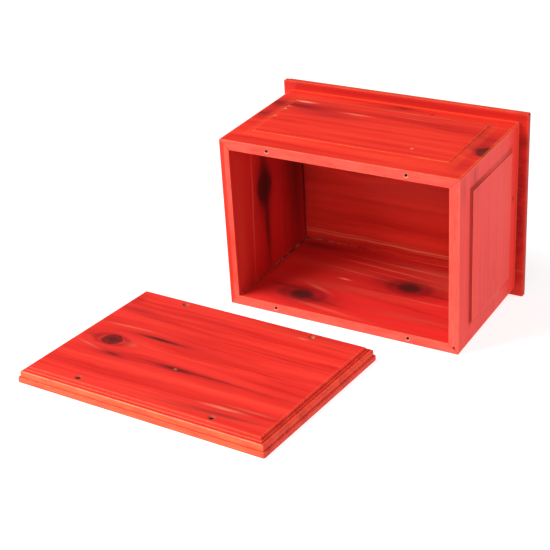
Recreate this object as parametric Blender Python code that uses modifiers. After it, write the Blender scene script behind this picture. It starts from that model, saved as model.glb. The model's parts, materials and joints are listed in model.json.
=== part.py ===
"""Wooden keepsake box, lying open on its back with its screw-on base board loose in front of it.

Four mitred walls carry a cap board at the far end.  The base board has the same moulded edge as the cap
and is held to the rim by four wood screws, which lie inside the box.
Units are metres, +Z is up and the open end faces -Y.
"""
import math

import bmesh
import bpy
from mathutils import Matrix, Vector

MM = 0.001
GAP = 0.3 * MM                      # clearance between pieces that touch

# The box as it stands in use: width, front to back, and the walls' length from rim to cap.
BOX_WIDTH = 225 * MM
BOX_DEPTH = 162.5 * MM
WALL_LENGTH = 130.8 * MM
WALL_THICKNESS = 9.1 * MM
ARRIS_RADIUS = 1.0 * MM             # rounding of the long outer corners
EASED_EDGE = 0.5 * MM               # sanded edges

# Raised fields on the front and the two sides.
FIELD_RISE = 1.8 * MM
FIELD_STEP = 0.4 * MM               # small square step at the top of the cove
COVE_RUN = 7.0 * MM
COVE_SEGMENTS = 8
MARGIN_AT_RIM = 24.5 * MM
MARGIN_AT_CAP = 20.5 * MM
MARGIN_AT_SIDES = 20.0 * MM
FIELD_ROOT = 4.0 * MM               # how deep the field's block sits in its board before the union

# Cap and base boards.
OVERHANG = 8.2 * MM
BOARD_WIDTH = BOX_WIDTH + 2 * OVERHANG
BOARD_DEPTH = BOX_DEPTH + 2 * OVERHANG
BOARD_THICKNESS = 13.5 * MM
PLAN_RADIUS = 1.7 * MM              # corners of the board seen from above
FLANGE_HEIGHT = 4.85 * MM           # square lower part of the moulded edge
FLANGE_ROUND = 0.9 * MM
NOSE_INSET = 1.6 * MM               # the nose stands back from the flange by this much
NOSE_HEIGHT = 8.5 * MM
NOSE_ROUND = 1.8 * MM
NOSE_CORNER = 1.2 * MM
QUIRK_INSET = 4.7 * MM
QUIRK_HEIGHT = 10.0 * MM
BEAD_RADIUS = 1.05 * MM
BEAD_CENTRE_HEIGHT = QUIRK_HEIGHT + 0.35 * MM
BEAD_END_ANGLE = 45.0
FIELD_WALL_INSET = 6.7 * MM
FIELD_EDGE_ROUND = 0.6 * MM
ARC_SEGMENTS = 6
CORNER_CUT_MARGIN = 0.02 * MM       # keeps the corner-rounding prism off the nose's flat faces

# Screws and their holes.
HOLE_X = 65.3 * MM
HOLE_Y = BOX_DEPTH / 2 - WALL_THICKNESS / 2
CLEARANCE_RADIUS = 2.0 * MM
COUNTERSINK_RADIUS = 3.2 * MM
PILOT_RADIUS = 1.35 * MM
PILOT_CHAMFER = 0.7 * MM
PILOT_DEPTH = 22.0 * MM
PILOT_POINT = 1.5 * MM
CUT_OVERRUN = 1.0 * MM
HOLE_STEPS = 32
SCREW_LENGTH = 25.0 * MM
HEAD_RADIUS = 3.0 * MM
HEAD_RIM = 0.3 * MM
SHANK_RADIUS = 1.6 * MM
SHANK_LENGTH = 8.0 * MM
CORE_RADIUS = 1.15 * MM
THREAD_RADIUS = 1.7 * MM
THREAD_PITCH = 1.6 * MM
THREAD_COUNT = 9
SCREW_STEPS = 20
RECESS_LENGTH = 3.4 * MM
RECESS_WIDTH = 0.8 * MM
RECESS_DEPTH = 1.5 * MM

# How the pieces lie: the cap overhangs, so the box rests on its rim and its cap with the far end raised.
BOX_TILT = math.atan2(OVERHANG, WALL_LENGTH + GAP)
BASE_CENTRE = Vector((-68.9 * MM, -124.6 * MM, 0.0))
BASE_YAW = math.radians(-1.86)
# Each screw's head (x, distance from the rim) and the way its point lies, in degrees from +X.
# They lie side by side, so that each can be drawn out past the others.
SCREWS_LIE = (
    ((71.0 * MM, 92.0 * MM), 85.0),
    ((81.0 * MM, 113.0 * MM), -93.0),
    ((89.5 * MM, 82.0 * MM), 92.0),
    ((98.5 * MM, 108.0 * MM), -94.0),
)

SMOOTH_ANGLE = math.radians(28)

# A half turn about the line y = z: what stood along Z lies along Y, what faced +Y faces up.
SWAP_Y_AND_Z = Matrix(((-1, 0, 0, 0), (0, 0, 1, 0), (0, 1, 0, 0), (0, 0, 0, 1)))

WOOD = (0.62, 0.07, 0.03, 1.0)
STEEL = (0.62, 0.60, 0.55, 1.0)


# ---------------------------------------------------------------- scene helpers

def clear_scene():
    for obj in list(bpy.data.objects):
        bpy.data.objects.remove(obj, do_unlink=True)


def make_collection(name):
    collection = bpy.data.collections.new(name)
    bpy.context.scene.collection.children.link(collection)
    return collection


def make_material(name, color, metallic, roughness):
    material = bpy.data.materials.new(name)
    material.use_nodes = True
    shader = material.node_tree.nodes["Principled BSDF"]
    shader.inputs["Base Color"].default_value = color
    shader.inputs["Metallic"].default_value = metallic
    shader.inputs["Roughness"].default_value = roughness
    return material


def add_part(name, mesh, color, metallic=0.0, roughness=0.35):
    obj = bpy.data.objects.new(name, mesh)
    parts.objects.link(obj)
    mesh.materials.append(make_material(name, color, metallic, roughness))
    return obj


def add_cutter(name, mesh):
    obj = bpy.data.objects.new(name, mesh)
    cutters.objects.link(obj)
    obj.hide_render = True
    obj.display_type = 'WIRE'
    return obj


def boolean(obj, other, operation):
    modifier = obj.modifiers.new(other.name, 'BOOLEAN')
    modifier.object = other
    modifier.operation = operation
    modifier.solver = 'EXACT'


def mesh_from(bm, name):
    bmesh.ops.recalc_face_normals(bm, faces=bm.faces)
    mesh = bpy.data.meshes.new(name)
    bm.to_mesh(mesh)
    bm.free()
    return mesh


def evaluated_mesh(obj):
    """The object's mesh with its modifiers applied, in its own coordinates."""
    graph = bpy.context.evaluated_depsgraph_get()
    return bpy.data.meshes.new_from_object(obj.evaluated_get(graph))


def bake(obj):
    """Apply the modifiers, then shade smooth except across sharp edges."""
    bpy.context.view_layer.update()
    mesh = evaluated_mesh(obj)
    obj.modifiers.clear()
    obj.data = mesh
    mesh.shade_smooth()
    mesh.set_sharp_from_angle(angle=SMOOTH_ANGLE)
    return obj


# ---------------------------------------------------------------- shape helpers

def arc(centre, radius, start, end, segments):
    """Points on an arc, from one angle in degrees to another."""
    points = []
    for step in range(segments + 1):
        angle = math.radians(start + (end - start) * step / segments)
        points.append((centre[0] + radius * math.cos(angle), centre[1] + radius * math.sin(angle)))
    return points


def block(low, high, corner_radius=0.0, corner_segments=ARC_SEGMENTS):
    """A bmesh block between two corners, with its upright edges rounded."""
    bm = bmesh.new()
    size = [b - a for a, b in zip(low, high)]
    centre = [(a + b) / 2 for a, b in zip(low, high)]
    bmesh.ops.create_cube(bm, size=1.0, matrix=Matrix.Translation(centre) @ Matrix.Diagonal((*size, 1.0)))
    if corner_radius > 0:
        upright = [e for e in bm.edges if abs(e.verts[0].co.z - e.verts[1].co.z) > 0.5 * size[2]]
        bmesh.ops.bevel(bm, geom=upright, offset=corner_radius, segments=corner_segments,
                        profile=0.5, affect='EDGES')
    return bm


def end_face(bm, sign):
    """The block's top face (sign 1) or bottom face (sign -1)."""
    return max(bm.faces, key=lambda face: sign * face.calc_center_median().z)


def raise_face(bm, face, profile):
    """Step a flat face inwards and outwards through a profile of (inset, height) points."""
    for here, there in zip(profile, profile[1:]):
        bmesh.ops.inset_region(bm, faces=[face], thickness=there[0] - here[0], depth=there[1] - here[1],
                               use_even_offset=True, use_boundary=True)


def turned(name, profile, steps):
    """A solid of revolution about Z from (radius, height) points, outer side first from the top."""
    outline = bmesh.new()
    verts = [outline.verts.new((radius, 0.0, height)) for radius, height in profile]
    for here, there in zip(verts, verts[1:]):
        outline.edges.new((here, there))
    mesh = bpy.data.meshes.new(name)
    outline.to_mesh(mesh)
    outline.free()
    obj = add_cutter(name, mesh)
    screw = obj.modifiers.new("turn", 'SCREW')
    screw.steps = steps
    screw.render_steps = steps
    screw.use_merge_vertices = True
    screw.merge_threshold = 0.00001
    screw.use_normal_calculate = True
    return obj


def outline_prism(name, points, low, high):
    """A flat outline filled and given thickness along Z."""
    curve = bpy.data.curves.new(name, 'CURVE')
    curve.dimensions = '2D'
    curve.fill_mode = 'BOTH'
    curve.extrude = (high - low) / 2
    spline = curve.splines.new('POLY')
    spline.points.add(len(points) - 1)
    for point, (x, y) in zip(spline.points, points):
        point.co = (x, y, 0.0, 1.0)
    spline.use_cyclic_u = True
    holder = bpy.data.objects.new(name, curve)
    cutters.objects.link(holder)
    mesh = evaluated_mesh(holder)
    bpy.data.objects.remove(holder)
    bm = bmesh.new()
    bm.from_mesh(mesh)
    bpy.data.meshes.remove(mesh)
    bmesh.ops.remove_doubles(bm, verts=bm.verts, dist=0.01 * MM)
    bmesh.ops.translate(bm, verts=bm.verts, vec=(0.0, 0.0, (low + high) / 2))
    return mesh_from(bm, name)


# ---------------------------------------------------------------- walls
# The walls are modelled standing: the rim is at z = 0, the cap at z = WALL_LENGTH, the front at +Y.

def wall_envelope():
    """The outside of the four walls together, with rounded arrises and an eased rim."""
    bm = block((-BOX_WIDTH / 2, -BOX_DEPTH / 2, EASED_EDGE),
               (BOX_WIDTH / 2, BOX_DEPTH / 2, WALL_LENGTH), ARRIS_RADIUS)
    eased = arc((EASED_EDGE, 0.0), EASED_EDGE, 180.0, 90.0, 3)
    raise_face(bm, end_face(bm, -1), eased)
    return add_cutter("wall_envelope", mesh_from(bm, "wall_envelope"))


def mitred_blank(name, length):
    """A board's length cut at 45 degrees at both ends, its inner face at y = -WALL_THICKNESS."""
    outside = 2 * FIELD_RISE
    half_kerf = GAP / 2 * math.sqrt(2)
    outer = length / 2 + outside - half_kerf
    inner = length / 2 - WALL_THICKNESS - half_kerf
    points = [(-outer, outside), (-inner, -WALL_THICKNESS), (inner, -WALL_THICKNESS), (outer, outside)]
    mesh = outline_prism(name, points, -CUT_OVERRUN, WALL_LENGTH + CUT_OVERRUN)
    return add_part(name, mesh, WOOD)


def cove_profile():
    """(inset, height) points from the flat margin up a hollow cove and a small step to the field."""
    rise = FIELD_RISE - FIELD_STEP
    radius = (COVE_RUN ** 2 + rise ** 2) / (2 * rise)
    sweep = math.degrees(math.asin(COVE_RUN / radius))
    cove = arc((0.0, radius), radius, -90.0, -90.0 + sweep, COVE_SEGMENTS)
    top = cove[-1]
    return cove + [(top[0] + 0.25 * FIELD_STEP, FIELD_RISE)]


def raised_field(name, length):
    """A block whose top climbs the cove, lying in the board's outer face (y = 0, outwards +Y)."""
    half_width = length / 2 - MARGIN_AT_SIDES + COVE_RUN
    near = MARGIN_AT_RIM - COVE_RUN
    far = WALL_LENGTH - MARGIN_AT_CAP + COVE_RUN
    bm = block((-half_width, near, -FIELD_ROOT), (half_width, far, 0.0))
    raise_face(bm, end_face(bm, 1), cove_profile())
    bmesh.ops.transform(bm, matrix=SWAP_Y_AND_Z, verts=bm.verts)
    return add_cutter(name, mesh_from(bm, name))


def pilot_cutter():
    mouth = PILOT_RADIUS + PILOT_CHAMFER + CUT_OVERRUN
    profile = [(0.0, CUT_OVERRUN), (mouth, CUT_OVERRUN), (PILOT_RADIUS, -PILOT_CHAMFER),
               (PILOT_RADIUS, -PILOT_DEPTH), (0.0, -PILOT_DEPTH - PILOT_POINT)]
    return turned("pilot_hole", profile, HOLE_STEPS)


def build_wall(name, length, half_span, turn, envelope, has_field, pilots):
    """One wall, modelled with its outer face at y = 0 and then turned to its side of the box."""
    wall = mitred_blank(name, length)
    place = Matrix.Rotation(turn, 4, 'Z') @ Matrix.Translation((0.0, half_span, 0.0))
    wall.matrix_world = place
    boolean(wall, envelope, 'INTERSECT')
    if has_field:
        field = raised_field(name + "_field", length)
        field.matrix_world = place
        boolean(wall, field, 'UNION')
    for index, x in enumerate(pilots):
        hole = add_cutter(f"{name}_pilot_{index}", evaluated_mesh(pilot_shape))
        mouth = Matrix.Translation((x, -WALL_THICKNESS / 2, 0.0))
        hole.matrix_world = place @ mouth @ Matrix.Rotation(math.pi, 4, 'X')
        boolean(wall, hole, 'DIFFERENCE')
    return bake(wall)


# ---------------------------------------------------------------- moulded boards

def edge_profile():
    """(inset, height) points of the moulding above the nose, from its upright face to the field."""
    nose = arc((NOSE_INSET + NOSE_ROUND, NOSE_HEIGHT), NOSE_ROUND, 180.0, 90.0, ARC_SEGMENTS)
    quirk = [(QUIRK_INSET, QUIRK_HEIGHT)]
    bead_centre = (QUIRK_INSET + BEAD_RADIUS, BEAD_CENTRE_HEIGHT)
    bead = arc(bead_centre, BEAD_RADIUS, 180.0, BEAD_END_ANGLE, ARC_SEGMENTS)
    field_centre = (FIELD_WALL_INSET + FIELD_EDGE_ROUND, BOARD_THICKNESS - FIELD_EDGE_ROUND)
    field_edge = arc(field_centre, FIELD_EDGE_ROUND, 180.0, 90.0, 4)
    return nose + quirk + bead + field_edge


def half_plan(inset):
    return BOARD_WIDTH / 2 - inset, BOARD_DEPTH / 2 - inset


def flange_mesh(name):
    """The square lower part, its flat face at z = 0, rounded in plan and along both edges."""
    half_x, half_y = half_plan(0.0)
    bm = block((-half_x, -half_y, EASED_EDGE), (half_x, half_y, FLANGE_HEIGHT - FLANGE_ROUND), PLAN_RADIUS)
    raise_face(bm, end_face(bm, 1), arc((FLANGE_ROUND, 0.0), FLANGE_ROUND, 180.0, 90.0, 4))
    raise_face(bm, end_face(bm, -1), arc((EASED_EDGE, 0.0), EASED_EDGE, 180.0, 90.0, 3))
    return mesh_from(bm, name)


def crown_cutter(name):
    """The nose, bead and field above the flange, with the nose's corners rounded in plan."""
    half_x, half_y = half_plan(NOSE_INSET)
    bm = block((-half_x, -half_y, FLANGE_HEIGHT / 2), (half_x, half_y, NOSE_HEIGHT))
    raise_face(bm, end_face(bm, 1), edge_profile())
    crown = add_cutter(name, mesh_from(bm, name))
    half_x, half_y = half_plan(NOSE_INSET - CORNER_CUT_MARGIN)
    bm = block((-half_x, -half_y, 0.0), (half_x, half_y, 2 * BOARD_THICKNESS), NOSE_CORNER)
    corners = add_cutter(name + "_corners", mesh_from(bm, name + "_corners"))
    boolean(crown, corners, 'INTERSECT')
    return crown


def drill_screw_holes(board):
    """Four clearance holes, countersunk in the moulded face."""
    top = BOARD_THICKNESS + CUT_OVERRUN
    sink = COUNTERSINK_RADIUS - CLEARANCE_RADIUS
    profile = [(0.0, top), (COUNTERSINK_RADIUS + CUT_OVERRUN, top), (CLEARANCE_RADIUS, BOARD_THICKNESS - sink),
               (CLEARANCE_RADIUS, -CUT_OVERRUN), (0.0, -CUT_OVERRUN)]
    shape = turned("clearance_hole", profile, HOLE_STEPS)
    for x in (-HOLE_X, HOLE_X):
        for y in (-HOLE_Y, HOLE_Y):
            hole = add_cutter(f"clearance_{x:+.4f}_{y:+.4f}", evaluated_mesh(shape))
            hole.location = (x, y, 0.0)
            boolean(board, hole, 'DIFFERENCE')


def build_moulded_board(name, is_drilled):
    """A board with its flat face at z = 0 and its moulded face up."""
    board = add_part(name, flange_mesh(name), WOOD)
    boolean(board, crown_cutter(name + "_crown"), 'UNION')
    if is_drilled:
        drill_screw_holes(board)
    return bake(board)


# ---------------------------------------------------------------- screws

def screw_profile():
    """(radius, height) points from the head's centre down the shank and thread to the point."""
    neck = HEAD_RADIUS - SHANK_RADIUS + HEAD_RIM
    points = [(0.0, 0.0), (HEAD_RADIUS, 0.0), (HEAD_RADIUS, -HEAD_RIM), (SHANK_RADIUS, -neck),
              (SHANK_RADIUS, -SHANK_LENGTH)]
    for turn in range(THREAD_COUNT):
        start = -SHANK_LENGTH - (turn + 0.25) * THREAD_PITCH
        points.append((CORE_RADIUS, start))
        points.append((THREAD_RADIUS, start - 0.4 * THREAD_PITCH))
        points.append((CORE_RADIUS, start - 0.6 * THREAD_PITCH))
    points.append((0.0, -SCREW_LENGTH))
    return points


def one_screw():
    """A countersunk screw hanging down from its head at the origin, with a cross recess."""
    screw = turned("screw_shape", screw_profile(), SCREW_STEPS)
    for index in range(2):
        half = (RECESS_LENGTH / 2, RECESS_WIDTH / 2, RECESS_DEPTH)
        bm = block((-half[0], -half[1], -half[2]), (half[0], half[1], half[2]))
        slot = add_cutter(f"recess_{index}", mesh_from(bm, f"recess_{index}"))
        slot.rotation_euler.z = index * math.pi / 2
        boolean(screw, slot, 'DIFFERENCE')
    bpy.context.view_layer.update()
    return evaluated_mesh(screw)


def build_screws(name):
    """Four screws lying on the back board's inner face, in the lying box's own coordinates."""
    reach = SHANK_LENGTH + THREAD_COUNT * THREAD_PITCH
    slope = math.atan2(HEAD_RADIUS - THREAD_RADIUS, reach)
    lift = WALL_THICKNESS + GAP + HEAD_RADIUS
    lay_down = Matrix.Rotation(-math.pi / 2 + slope, 4, 'Y')
    shape = one_screw()
    screws = []
    for number, ((x, y), heading) in enumerate(SCREWS_LIE, start=1):
        screw = add_part(f"{name}_{number}", shape.copy(), STEEL, metallic=1.0, roughness=0.3)
        point_way = Matrix.Rotation(math.radians(heading), 4, 'Z')
        screw.matrix_world = Matrix.Translation((x, y, lift)) @ point_way @ lay_down
        screws.append(bake(screw))
    return screws


# ---------------------------------------------------------------- assembly

def offset_to_bottom_centre(objects):
    """The move that brings the bottom centre of the objects' common box to the origin."""
    corners = [obj.matrix_world @ vertex.co for obj in objects for vertex in obj.data.vertices]
    low = Vector([min(c[axis] for c in corners) for axis in range(3)])
    high = Vector([max(c[axis] for c in corners) for axis in range(3)])
    return Vector((-(low.x + high.x) / 2, -(low.y + high.y) / 2, -low.z))


clear_scene()
parts = make_collection("keepsake_box")
cutters = make_collection("cutters")

envelope = wall_envelope()
pilot_shape = pilot_cutter()
bpy.context.view_layer.update()

half_width = BOX_WIDTH / 2
half_depth = BOX_DEPTH / 2
holes = (-HOLE_X, HOLE_X)
standing = [
    build_wall("front_board", BOX_WIDTH, half_depth, 0.0, envelope, True, holes),
    build_wall("right_board", BOX_DEPTH, half_width, math.pi / 2, envelope, True, ()),
    build_wall("back_board", BOX_WIDTH, half_depth, math.pi, envelope, False, holes),
    build_wall("left_board", BOX_DEPTH, half_width, -math.pi / 2, envelope, True, ()),
]
cap = build_moulded_board("cap_board", is_drilled=False)
cap.matrix_world = Matrix.Translation((0.0, 0.0, WALL_LENGTH + GAP))
base = build_moulded_board("base_plate", is_drilled=True)
base.matrix_world = Matrix.Translation(BASE_CENTRE) @ Matrix.Rotation(BASE_YAW, 4, 'Z')
screws = build_screws("base_screw")

tilt = Matrix.Rotation(BOX_TILT, 4, 'X')
lay_on_back = tilt @ Matrix.Translation((0.0, 0.0, half_depth)) @ SWAP_Y_AND_Z
for screw in screws:
    screw.matrix_world = tilt @ screw.matrix_world
for piece in standing + [cap]:
    piece.matrix_world = lay_on_back @ piece.matrix_world

bpy.context.view_layer.update()
everything = standing + [cap, base] + screws
offset = Matrix.Translation(offset_to_bottom_centre(everything))
for piece in everything:
    piece.matrix_world = offset @ piece.matrix_world
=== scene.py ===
"""A red-stained wooden keepsake box on its back, its drilled base plate beside it and four screws inside.

The CAD boards are replaced by finer meshes of the same shape, so that their rounded edges and mouldings
catch the light smoothly. Each board is modelled in its own frame: x along the grain, y across it and
z outwards from the outer face, so its wood is drawn in the board's own millimetres.
"""

import json
import math

import bmesh
import bpy
from mathutils import Matrix, Vector
from mathutils.noise import noise as noise_at


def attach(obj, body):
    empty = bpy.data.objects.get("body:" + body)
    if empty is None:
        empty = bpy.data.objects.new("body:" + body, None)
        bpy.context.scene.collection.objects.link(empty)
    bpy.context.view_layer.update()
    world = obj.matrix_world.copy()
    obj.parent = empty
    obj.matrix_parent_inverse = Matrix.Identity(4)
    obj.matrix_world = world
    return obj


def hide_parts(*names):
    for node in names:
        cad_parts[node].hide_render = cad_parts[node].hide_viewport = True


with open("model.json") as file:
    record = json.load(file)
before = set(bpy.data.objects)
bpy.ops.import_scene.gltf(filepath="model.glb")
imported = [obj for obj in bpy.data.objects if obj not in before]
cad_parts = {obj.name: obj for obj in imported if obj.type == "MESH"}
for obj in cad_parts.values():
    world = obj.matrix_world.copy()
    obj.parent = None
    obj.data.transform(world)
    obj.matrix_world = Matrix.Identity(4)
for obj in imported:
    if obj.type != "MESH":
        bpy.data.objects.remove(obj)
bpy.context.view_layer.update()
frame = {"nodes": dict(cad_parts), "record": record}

MM = 0.001

# ------------------------ dimensions, in metres

# The box lies on its back: x to the right, y from the open rim to the cap, z from the back board up.
BOX_WIDTH = 225 * MM
BOX_DEPTH = 162.5 * MM
WALL_LENGTH = 130.8 * MM
WALL_THICKNESS = 9.1 * MM
CAP_GAP = 0.3 * MM
WALL_END = WALL_LENGTH + 0.9 * CAP_GAP  # the walls all but touch the cap, so no light leaks in
ARRIS_RADIUS = 1.0 * MM
RIM_OUTER_EASE = 0.5 * MM
RIM_INNER_EASE = 0.3 * MM
MITRE_KERF = 0.02 * MM  # half the hairline between two boards
OPEN_MITRE = 0.45 * MM  # how far the worst mitre gapes at its inner corner
GAPE_START = 0.4  # where it starts to gape, as a share of the wall's thickness

FIELD_RISE = 1.8 * MM
FIELD_STEP = 0.4 * MM
FIELD_ARRIS = 0.22 * MM
COVE_RUN = 7.0 * MM
MARGIN_AT_RIM = 24.5 * MM
MARGIN_AT_CAP = 20.5 * MM
MARGIN_AT_SIDES = 20.0 * MM

OVERHANG = 8.2 * MM
BOARD_HALF_X = BOX_WIDTH / 2 + OVERHANG
BOARD_HALF_Y = BOX_DEPTH / 2 + OVERHANG
BOARD_THICKNESS = 13.5 * MM
PLAN_RADIUS = 1.7 * MM
PLAN_RADIUS_MIN = 0.3 * MM
FLANGE_HEIGHT = 4.85 * MM
FLANGE_ROUND = 0.9 * MM
FLAT_FACE_EASE = 0.5 * MM
NOSE_INSET = 1.6 * MM
NOSE_HEIGHT = 8.5 * MM
NOSE_ROUND = 1.8 * MM
NOSE_CORNER = 1.2 * MM
NOSE_CORNER_MIN = 0.15 * MM
QUIRK_INSET = 4.7 * MM
QUIRK_HEIGHT = 10.0 * MM
BEAD_RADIUS = 1.05 * MM
BEAD_CENTRE_HEIGHT = 10.35 * MM
BEAD_END_ANGLE = 45.0
FIELD_WALL_INSET = 6.7 * MM
FIELD_WALL_FOOT = 11.5 * MM
FIELD_WALL_SLOPE = 0.05 * MM  # how far the little wall up to the field leans out at its foot
FIELD_EDGE_ROUND = 0.6 * MM

HOLE_X = 65.3 * MM
HOLE_Y = BOX_DEPTH / 2 - WALL_THICKNESS / 2
CLEARANCE_RADIUS = 2.0 * MM
COUNTERSINK_RADIUS = 3.2 * MM
PILOT_RADIUS = 1.35 * MM
PILOT_CHAMFER = 0.7 * MM
PILOT_DEPTH = 22 * MM
PILOT_POINT = 1.5 * MM
CUT_OVERRUN = 1.0 * MM
HOLE_STEPS = 48
CONE_SLOPE = 0.5  # faces that point further than this along a hole are its cone

CHIP_SIZE = (3.4 * MM, 1.7 * MM, 2.4 * MM)
CHIP_TAPER = 0.55  # the chip's floor, as a share of its mouth
CHIP_FROM_CORNER = 5.9 * MM
CHIP_FROM_OUTER_FACE = 4.0 * MM

# Wear and painted shade need loops of their own beside an edge, to end where they should.
SUPPORT = 1.6 * MM  # how far from an edge its wear has faded out
RIM_SUPPORT = 0.5 * MM  # the same for the rim's inner edge
COVE_SUPPORT = 0.5 * MM  # for the outer edge of a cove
FIELD_SUPPORT = 0.7 * MM  # and for the edge of a wall's field
FLANGE_BARE_FROM = 1.4 * MM  # height where the flange's barest band starts
FLANGE_BARE_GAP = 0.4 * MM  # from that band's top to the flange's rounded edge
NOSE_FOOT_RUN = 0.12 * MM  # the painted shade line at the nose's foot, along the flange
NOSE_FOOT_RISE = 0.15 * MM  # and up the nose
NOSE_BARE_RISE = 0.5 * MM  # where the bare wood above that line starts
QUIRK_RUN = 0.25 * MM  # the painted shade line in the quirk, back towards the nose
QUIRK_RISE = 0.1 * MM
GLINT_SHARES = (0.25, 0.6)  # the stretch of the nose's round that gets a painted highlight

SAME_POINT = 0.0005 * MM
CORNER_STEPS = 4
ARC_STEPS = 6
COVE_STEPS = 10
SMOOTH_ANGLE = math.radians(32)

# ------------------------ where things are

record_mounts = {mount["name"]: Vector(mount["pos_m"]) for mount in frame["record"]["mounts"]}
BOX_TILT = math.atan2(OVERHANG, WALL_LENGTH + CAP_GAP)
BASE_YAW = math.radians(-1.86)

lying_tilt = Matrix.Rotation(BOX_TILT, 4, 'X')
field_middle = Vector((0.0, (MARGIN_AT_RIM + WALL_LENGTH - MARGIN_AT_CAP) / 2, BOX_DEPTH + FIELD_RISE))
rim_foot = record_mounts["front_field"] - lying_tilt @ field_middle
lying = Matrix.Translation(rim_foot) @ lying_tilt


def side_frame(side):
    """The frame of the left wall, side = -1, or of the right one, side = 1."""
    outer_face = Matrix.Translation((side * BOX_WIDTH / 2, 0, BOX_DEPTH / 2))
    return lying @ outer_face @ Matrix.Rotation(side * math.pi / 2, 4, 'Y')


to_cap = Matrix(((-1, 0, 0, 0), (0, 0, 1, WALL_LENGTH + CAP_GAP), (0, 1, 0, BOX_DEPTH / 2), (0, 0, 0, 1)))
BOARD_FRAMES = {
    "front_board": lying @ Matrix.Translation((0, 0, BOX_DEPTH)),
    "back_board": lying @ Matrix.Rotation(math.pi, 4, 'Y'),
    "left_board": side_frame(-1),
    "right_board": side_frame(1),
    "cap_board": lying @ to_cap,
    "base_plate": Matrix.Translation(record_mounts["base_flat_face"]) @ Matrix.Rotation(BASE_YAW, 4, 'Z'),
}


# ------------------------ mesh helpers

def arc(centre, radius, start, end, steps):
    """Points on an arc, from one angle in degrees to another."""
    points = []
    for step in range(steps + 1):
        angle = math.radians(start + (end - start) * step / steps)
        points.append((centre[0] + radius * math.cos(angle), centre[1] + radius * math.sin(angle)))
    return points


def rectangle_loop(low, high, z, radius=0.0):
    """A rectangle between two (x, y) corners at height z, its corners rounded, anticlockwise."""
    centres = [
        (high[0] - radius, high[1] - radius, 0),
        (low[0] + radius, high[1] - radius, 90),
        (low[0] + radius, low[1] + radius, 180),
        (high[0] - radius, low[1] + radius, 270),
    ]
    loop = []
    for x, y, start in centres:
        for px, py in arc((x, y), radius, start, start + 90, CORNER_STEPS):
            loop.append((px, py, z))
    return loop


def centred_loop(half_x, half_y, z, radius=0.0):
    return rectangle_loop((-half_x, -half_y), (half_x, half_y), z, radius)


def bridge(bm, rings):
    """Faces between each ring of vertices and the next."""
    for lower, upper in zip(rings, rings[1:]):
        for index in range(len(lower)):
            following = (index + 1) % len(lower)
            bm.faces.new((lower[index], lower[following], upper[following], upper[index]))


def finished_mesh(bm, name):
    """The mesh of a closed bmesh, its faces turned outwards."""
    bmesh.ops.recalc_face_normals(bm, faces=bm.faces)
    mesh = bpy.data.meshes.new(name)
    bm.to_mesh(mesh)
    bm.free()
    return mesh


def loft(name, loops):
    """A closed mesh through (points, wear, shade) loops of equal length, capped at both ends.

    wear marks sanded edges that show lighter wood, and painted sheen on the front board's cove;
    shade marks hollows that get painted shade, and below 0 it marks rounds with a painted highlight."""
    bm = bmesh.new()
    wear_layer = bm.verts.layers.float.new("wear")
    shade_layer = bm.verts.layers.float.new("shade")
    rings = []
    for points, wear, shade in loops:
        ring = []
        for point in points:
            vert = bm.verts.new(point)
            vert[wear_layer] = wear
            vert[shade_layer] = shade
            ring.append(vert)
        rings.append(ring)
    bridge(bm, rings)
    bm.faces.new(list(reversed(rings[0])))
    bm.faces.new(rings[-1])
    bmesh.ops.remove_doubles(bm, verts=bm.verts, dist=SAME_POINT)
    return finished_mesh(bm, name)


def new_object(name, mesh, material):
    obj = bpy.data.objects.new(name, mesh)
    bpy.context.scene.collection.objects.link(obj)
    mesh.materials.append(material)
    return obj


def turned_cutter(name, profile, material):
    """A solid of revolution about Z from (radius, height) points, ending on the axis at both ends."""
    bm = bmesh.new()
    rings = []
    for radius, height in profile[1:-1]:
        ring = []
        for step in range(HOLE_STEPS):
            angle = 2 * math.pi * step / HOLE_STEPS
            ring.append(bm.verts.new((radius * math.cos(angle), radius * math.sin(angle), height)))
        rings.append(ring)
    bridge(bm, rings)
    for pole, ring in ((profile[0], rings[0]), (profile[-1], rings[-1])):
        tip = bm.verts.new((0.0, 0.0, pole[1]))
        for index in range(HOLE_STEPS):
            bm.faces.new((tip, ring[index], ring[(index + 1) % HOLE_STEPS]))
    return new_object(name, finished_mesh(bm, name), material)


def cut(obj, cutters):
    """Take the cutters out of obj for good, and remove them."""
    for cutter in cutters:
        modifier = obj.modifiers.new(cutter.name, 'BOOLEAN')
        modifier.object = cutter
        modifier.operation = 'DIFFERENCE'
        modifier.solver = 'EXACT'
        modifier.material_mode = 'TRANSFER'
    bpy.context.view_layer.update()
    graph = bpy.context.evaluated_depsgraph_get()
    mesh = bpy.data.meshes.new_from_object(obj.evaluated_get(graph), depsgraph=graph)
    obj.modifiers.clear()
    obj.data = mesh
    for cutter in cutters:
        bpy.data.objects.remove(cutter)


def smooth_shade(obj):
    obj.data.polygons.foreach_set("use_smooth", [True] * len(obj.data.polygons))
    obj.data.set_sharp_from_angle(angle=SMOOTH_ANGLE)
    weighted = obj.modifiers.new("weighted_normals", 'WEIGHTED_NORMAL')
    weighted.keep_sharp = True
    weighted.weight = 90


# ------------------------ boards

def cove_profile():
    """(inset, height) points from the flat margin up a hollow cove, to the foot of a small step."""
    rise = FIELD_RISE - FIELD_STEP
    radius = (COVE_RUN ** 2 + rise ** 2) / (2 * rise)
    sweep = math.degrees(math.asin(COVE_RUN / radius))
    return arc((0.0, radius), radius, -90, -90 + sweep, COVE_STEPS)


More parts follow.
